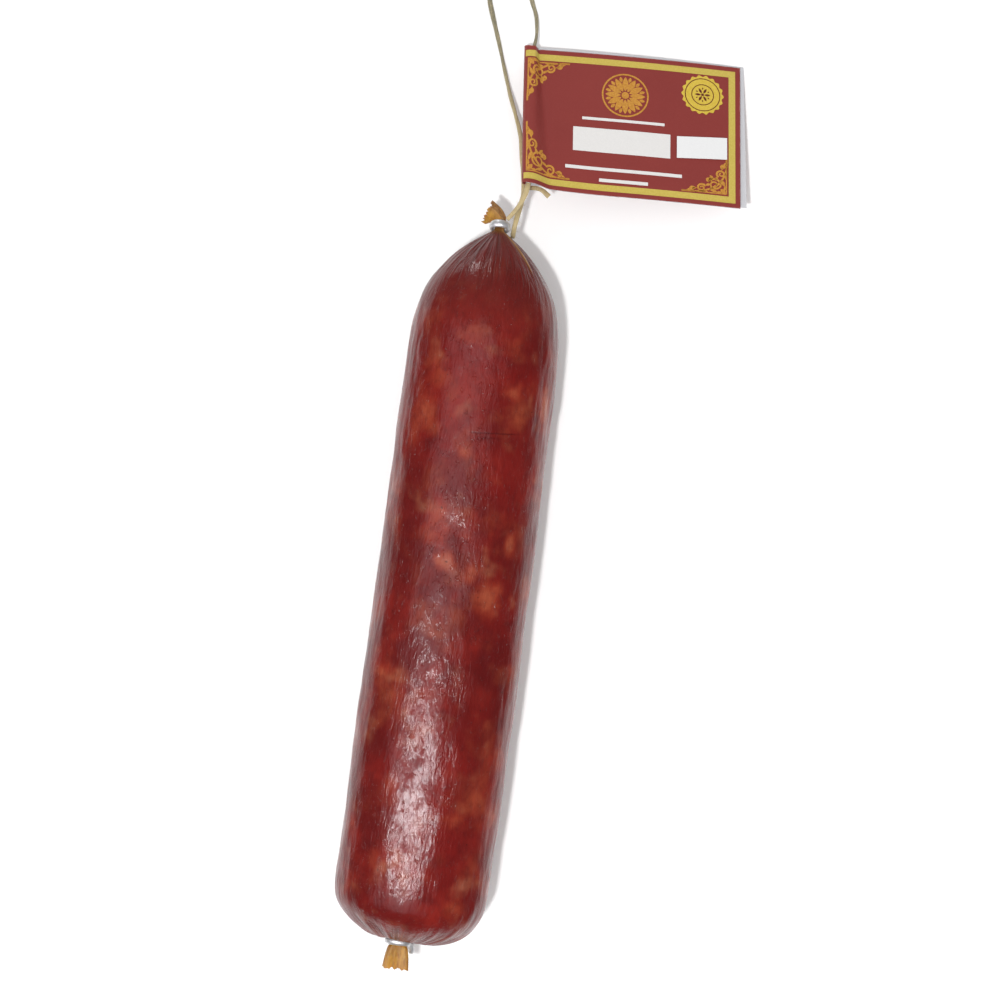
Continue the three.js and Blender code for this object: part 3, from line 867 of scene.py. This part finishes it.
TAG_CORNER = Vector((3.8, 134.2, 21.1)) * MM  # the lower end of the fold
TAG_TURN = (Matrix.Rotation(math.radians(3.7), 3, "Z") @ Matrix.Rotation(math.radians(3.8), 3, "Y")
            @ Matrix.Rotation(math.radians(-16.5), 3, "X"))
TAG_WIDTH, TAG_HEIGHT, TAG_LEAN, TAG_CURL = 74, 52, -0.03, 1
LIFT_HEIGHT, LIFT_ACROSS, LIFT_UP, LIFT_POWER = 3.2, 28, 34, 1.5
PRINT_LIFT, PRINT_THICK = 0.03, 0.03  # how the print stands on the card, in mm
SLOPE_END = 13  # beside the fold the print needs short steps
SHARP_BEND = 0.6  # an edge that bends more, in radians, stays sharp


def shade_card_smooth(card):
    """Round off the shading of the folded card and keep its cut edges sharp."""
    tree = bpy.data.node_groups.new("smooth_card", "GeometryNodeTree")
    for in_out in ("INPUT", "OUTPUT"):
        tree.interface.new_socket("Geometry", in_out=in_out, socket_type="NodeSocketGeometry")
    start, weld, faces, edges, end, bend, sharp = [tree.nodes.new(kind) for kind in (
        "NodeGroupInput", "GeometryNodeMergeByDistance", "GeometryNodeSetShadeSmooth",
        "GeometryNodeSetShadeSmooth", "NodeGroupOutput", "GeometryNodeInputMeshEdgeAngle",
        "FunctionNodeCompare")]
    weld.inputs["Distance"].default_value = 0.001 * MM
    faces.domain, edges.domain = "FACE", "EDGE"
    edges.inputs["Shade Smooth"].default_value = False
    sharp.inputs[1].default_value = SHARP_BEND
    for before, after in ((start, weld), (weld, faces), (faces, edges), (edges, end)):
        tree.links.new(before.outputs[0], after.inputs[0])
    tree.links.new(bend.outputs["Unsigned Angle"], sharp.inputs[0])
    tree.links.new(sharp.outputs[0], edges.inputs["Selection"])
    card.modifiers.new("smooth_card", "NODES").node_group = tree


def tag_space(graph):
    """Where a point is on the tag, in millimetres: across, up and out; and how far it faces out."""
    geometry = graph.node("ShaderNodeNewGeometry")
    place = graph.node("ShaderNodeTexCoord").outputs["Object"]
    local = graph.node("ShaderNodeVectorMath", {0: place, 1: TAG_CORNER}, operation="SUBTRACT").outputs[0]
    x, up, out = [graph.dot(local, TAG_TURN.col[i] / MM) for i in range(3)]
    across = graph.minus(x, graph.times(up, TAG_LEAN))
    return across, up, out, graph.dot(geometry.outputs["Normal"], TAG_TURN.col[2])


def leaf_middle(graph, across, up):
    """The height midway between the two leaves: the card's curl, and the lift of its lower corner."""
    half = TAG_WIDTH / 2
    from_middle = graph.math("DIVIDE", graph.minus(across, half), half)
    curl = graph.minus(1.0, graph.times(from_middle, from_middle))
    fades = []
    for distance, reach in ((across, LIFT_ACROSS), (up, LIFT_UP)):
        left = graph.minus(1.0, graph.math("DIVIDE", distance, reach))
        fades.append(graph.math("POWER", graph.math("MAXIMUM", left, 0.0), LIFT_POWER))
    lift = graph.times(graph.times(*fades), LIFT_HEIGHT)
    return graph.math("ADD", graph.times(curl, TAG_CURL), lift)


def card_material():
    """Red print on the outside of both leaves; bare white card inside and on the cut edges."""
    graph = Graph("printed_card")
    across, up, out, facing = tag_space(graph)
    above = graph.minus(out, leaf_middle(graph, across, up))
    outward = graph.times(graph.math("SIGN", above), facing)
    printed = graph.step(outward, 0.1, 0.25)
    printed = graph.math("MAXIMUM", printed, graph.step(across, 1, 1.4, 1, 0))
    shade = graph.noise(0.06)
    red = graph.blend(shade, srgb(122, 43, 40), srgb(132, 49, 44))
    fibre = graph.noise(2.6, 4, 0.7)
    red = graph.blend(graph.step(fibre, 0.4, 0.8, 0, 0.1), red, srgb(160, 90, 82))
    white = graph.blend(fibre, srgb(180, 180, 184), srgb(196, 196, 199))
    edge = graph.math("MINIMUM", graph.minus(TAG_WIDTH, across), up)
    edge = graph.math("MINIMUM", edge, graph.minus(TAG_HEIGHT, up))
    wear = graph.times(graph.step(edge, 0, 0.4, 1, 0),
                      graph.step(graph.noise(0.5), 0.4, 0.7))
    red = graph.blend(graph.times(wear, 0.4), red, srgb(190, 140, 130))
    graph.plug(graph.blend(printed, white, red), "Base Color")
    graph.plug(graph.step(printed, 0, 1, 0.8, 0.5), "Roughness")
    graph.plug(graph.bump(fibre, 0.02), "Normal")
    graph.set(Specular_IOR_Level=0.3)
    return graph.material


def print_material(name, first, second, roughness=0.45):
    graph = Graph(name)
    grain = graph.noise(1.8, 4, 0.65)
    graph.plug(graph.blend(graph.step(grain, 0.35, 0.7), first, second), "Base Color")
    gloss = graph.noise(0.4, 2, shift=4)
    graph.plug(graph.step(gloss, 0.3, 0.7, roughness - 0.06, roughness + 0.08), "Roughness")
    graph.plug(graph.bump(grain, 0.01), "Normal")
    graph.set(Specular_IOR_Level=0.3)
    return graph.material


class CardFront:
    """Lays flat artwork, given in millimetres across and up the tag, on the CAD tag's front leaf."""

    def __init__(self):
        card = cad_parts["tag"]
        self.tree = BVHTree.FromObject(card, bpy.context.evaluated_depsgraph_get())

    def at(self, across, up, lift):
        """The point on the front leaf, in metres, raised by lift millimetres."""
        out = TAG_TURN.col[2]
        above = TAG_CORNER + TAG_TURN @ Vector((across + TAG_LEAN * up, up, 14)) * MM
        hit, normal = self.tree.ray_cast(above, -out)[:2]
        if hit is None:
            raise ValueError(f"no card under {across:.1f}, {up:.1f}")
        if normal.dot(out) < 0:
            normal = -normal
        return hit + normal * lift * MM

    def lay(self, name, shapes, material, slot="gold_print", lift=PRINT_LIFT):
        """Closed thin pieces from quads of artwork; each shape is rows of (across, up) points."""
        points, faces = [], []
        for rows in shapes:
            count, width = len(rows), len(rows[0])
            base = len(points)
            for height in (lift + PRINT_THICK, lift):
                points += [self.at(x, y, height) for row in rows for x, y in row]
            below = base + count * width
            for quad in grid_faces(count, width, closed=False):
                faces.append(tuple(base + i for i in quad))
                faces.append(tuple(below + i for i in quad[::-1]))
            for a, b in rim_steps(count, width):
                faces.append((base + a, below + a, below + b, base + b))
        return add_piece(name, points, faces, material, shade_smooth=False)


def rim_steps(rows, columns):
    """Pairs of neighbouring points round the outside of a grid, in order."""
    bottom = list(range(columns))
    right = [r * columns + columns - 1 for r in range(1, rows)]
    top = [(rows - 1) * columns + c for c in range(columns - 2, -1, -1)]
    left = [r * columns for r in range(rows - 2, 0, -1)]
    rim = bottom + right + top + left
    return list(zip(rim, rim[1:] + rim[:1]))


def ribbon(line, width):
    """A band along a flat line, as rows of points; its width may change along it."""
    line = np.array(line, float)
    tangent = directions(line)
    side = np.stack([-tangent[:, 1], tangent[:, 0]], -1)
    width = np.broadcast_to(width, len(line))[:, None] / 2
    return [[tuple(p) for p in line - side * width], [tuple(p) for p in line + side * width]]


def stations_across(left, right):
    """Stations across the tag: short steps on the slope beside the fold, long ones after it."""
    close = np.arange(left, min(right, SLOPE_END), 0.2)
    far_start = max(left, SLOPE_END)
    far = np.linspace(far_start, right, max(int(right - far_start), 1) + 1) if right > far_start else []
    return np.unique(np.concatenate([close, far, [right]]))


def bar(left, bottom, right, top):
    """A straight bar, cut into short lengths so that it follows the card."""
    ups = np.linspace(bottom, top, max(int(top - bottom), 1) + 1)
    return [[(x, y) for x in stations_across(left, right)] for y in ups]


def spiral(centre, start, turns, radius, hand):
    t = np.linspace(0, 1, 44)
    angle = start + hand * turns * 2 * math.pi * t
    size = radius * (1 - 0.8 * t)
    return np.stack([centre[0] + size * np.cos(angle), centre[1] + size * np.sin(angle)], -1)


def leaf(base, tip, width):
    """A pointed leaf between two points."""
    t = np.linspace(0, 1, 9)[:, None]
    line = np.array(base) * (1 - t) + np.array(tip) * t
    return ribbon(line, width * np.sin(np.pi * np.clip(t[:, 0], 0.02, 0.98)) ** 0.8)


def disc(centre, radius, inner=0.02, scallops=0, depth=0.0, rings=7):
    """A flat ring or disc, which may have a wavy edge."""
    turns = np.linspace(0, 2 * math.pi, 97)
    rows = []
    for r in np.linspace(inner, radius, rings):
        wave = r * (1 + depth * (r / radius) ** 6 * np.cos(scallops * turns))
        rows.append([(centre[0] + w * math.cos(a), centre[1] + w * math.sin(a))
                     for w, a in zip(wave, turns)])
    return rows[::-1]


# Spirals in a corner ornament: centre as a share of its width and height, start, turns, radius, hand.
SCROLLS = [
    ((0.27, 0.25), 0.4, 1.6, 0.17, 1), ((0.56, 0.13), 2.6, 1.4, 0.105, -1),
    ((0.13, 0.56), -1.0, 1.4, 0.105, 1), ((0.77, 0.075), 2.8, 1.2, 0.06, -1),
    ((0.075, 0.77), -1.2, 1.2, 0.06, 1), ((0.41, 0.36), 3.6, 1.2, 0.06, -1),
    ((0.36, 0.42), 1.2, 1.2, 0.05, 1),
]
# Leaves between them: base and tip, and the width at the middle. Each has a mirror image.
LEAVES = [
    ((0.03, 0.03), (0.14, 0.14), 1.5), ((0.05, 0.22), (0.12, 0.4), 1.1), ((0.03, 0.42), (0.04, 0.62), 0.8),
    ((0.12, 0.66), (0.03, 0.9), 0.8), ((0.36, 0.26), (0.48, 0.2), 0.9), ((0.05, 0.11), (0.04, 0.24), 0.8),
]


def corner_ornament(corner, width, height):
    """Plain scrollwork that fills a corner; a negative width or height turns it over."""
    size = np.array((width, height))
    shapes = []

    def put(line, thickness):
        shapes.append(ribbon(np.array(line) * size + corner, thickness))

    t = np.linspace(0, 1, 60)
    turn = t * math.pi / 2
    hollow = np.stack([(1 - np.sin(turn)) ** 1.2, (1 - np.cos(turn)) ** 1.2], -1)
    put(hollow, np.interp(t, [0, 0.5, 1], [0.35, 0.8, 0.35]))
    put(np.stack([t, 0 * t + 0.012], -1), 0.4)
    put(np.stack([0 * t + 0.012, t], -1), 0.4)
    for centre, start, turns, radius, hand in SCROLLS:
        put(spiral(centre, start, turns, radius, hand), np.linspace(0.75, 0.42, 44))
    for base, tip, thickness in LEAVES:
        for order in (1, -1) if base[0] != base[1] else (1,):
            ends = [np.array(end[::order]) * size + corner for end in (base, tip)]
            shapes.append(leaf(*ends, thickness))
    return shapes


def rosette(centre, radius, petals):
    """A ring of leaves round a small disc, inside a thin ring."""
    shapes = [disc(centre, radius, inner=radius * 0.93, rings=2), disc(centre, radius * 0.16, rings=3)]
    for i, angle in enumerate(around(2 * petals)):
        base, tip, width = (0.62, 0.86, 0.14) if i % 2 else (0.2, 0.84, 0.26)
        way = np.array((math.cos(angle), math.sin(angle))) * radius
        shapes.append(leaf(centre + way * base, centre + way * tip, radius * width))
    return shapes


BORDER_LEFT, BORDER_RIGHT = 0.3, 72.3
BORDER_BOTTOM, BORDER_TOP, BORDER_WIDTH = 1.6, 50.3, 2.3
DISC_CENTRE, DISC_RADIUS = (61, 40.4), 7
ROSETTE_CENTRE, ROSETTE_RADIUS = (34.5, 37.4), 8
PANEL = (17, 15.6, 50, 24.4)  # left, bottom, right, top of the blank panel
RULES = [(20, 27.3, 48, 28.3), (14.5, 8.9, 54, 10.1), (26, 4.9, 42.5, 6.1)]


def lay_artwork(front):
    gold = print_material("gold_ink", srgb(180, 160, 70), srgb(190, 170, 82))
    bronze = print_material("bronze_ink", srgb(172, 118, 42), srgb(192, 138, 56))
    yellow = print_material("yellow_ink", srgb(190, 162, 54), srgb(202, 176, 70))
    white = print_material("white_ink", srgb(206, 204, 202), srgb(210, 208, 206))
    dark = print_material("dark_ink", srgb(88, 34, 26), srgb(100, 42, 30))

    low, high = BORDER_BOTTOM + BORDER_WIDTH, BORDER_TOP - BORDER_WIDTH
    border = [
        bar(BORDER_LEFT, high, BORDER_RIGHT, BORDER_TOP),
        bar(BORDER_LEFT, BORDER_BOTTOM, BORDER_RIGHT, low),
        bar(BORDER_RIGHT - BORDER_WIDTH, low, BORDER_RIGHT, high),
    ]
    front.lay("gold_border", border, gold)

    corners = corner_ornament((1, high - 0.6), 14.5, -16)
    corners += corner_ornament((1, low + 0.6), 15, 19)
    corners += corner_ornament((BORDER_RIGHT - BORDER_WIDTH - 0.6, low + 0.6), -15.5, 13)
    front.lay("corner_ornaments", corners, bronze)
    front.lay("rosette", rosette(np.array(ROSETTE_CENTRE), ROSETTE_RADIUS, 12), bronze)

    front.lay("round_patch", [disc(DISC_CENTRE, DISC_RADIUS, scallops=18, depth=0.05)], yellow)
    rings = [disc(DISC_CENTRE, r, inner=r - 0.3, rings=2) for r in (6.1, 3.9)]
    star = rosette(np.array(DISC_CENTRE), 3.1, 6)[1:]
    front.lay("patch_lines", rings + star, dark, lift=PRINT_LIFT + PRINT_THICK + 0.01)

    front.lay("blank_panel", [bar(*PANEL)] + [bar(*rule) for rule in RULES], white, "white_paper")


def make_tag():
    label_paper = print_material("label_paper", srgb(212, 212, 212), srgb(215, 215, 215), 0.6)
    for node, material in (("tag", card_material()), ("sticker", label_paper)):
        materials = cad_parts[node].data.materials
        materials.clear()
        materials.append(material)
    lay_artwork(CardFront())
    shade_card_smooth(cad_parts["tag"])


# ---------------- the whole scene

make_camera()
make_lights()
make_world()
make_floor()
make_tag()
make_string()
make_clips()
make_tails()
make_sausage()
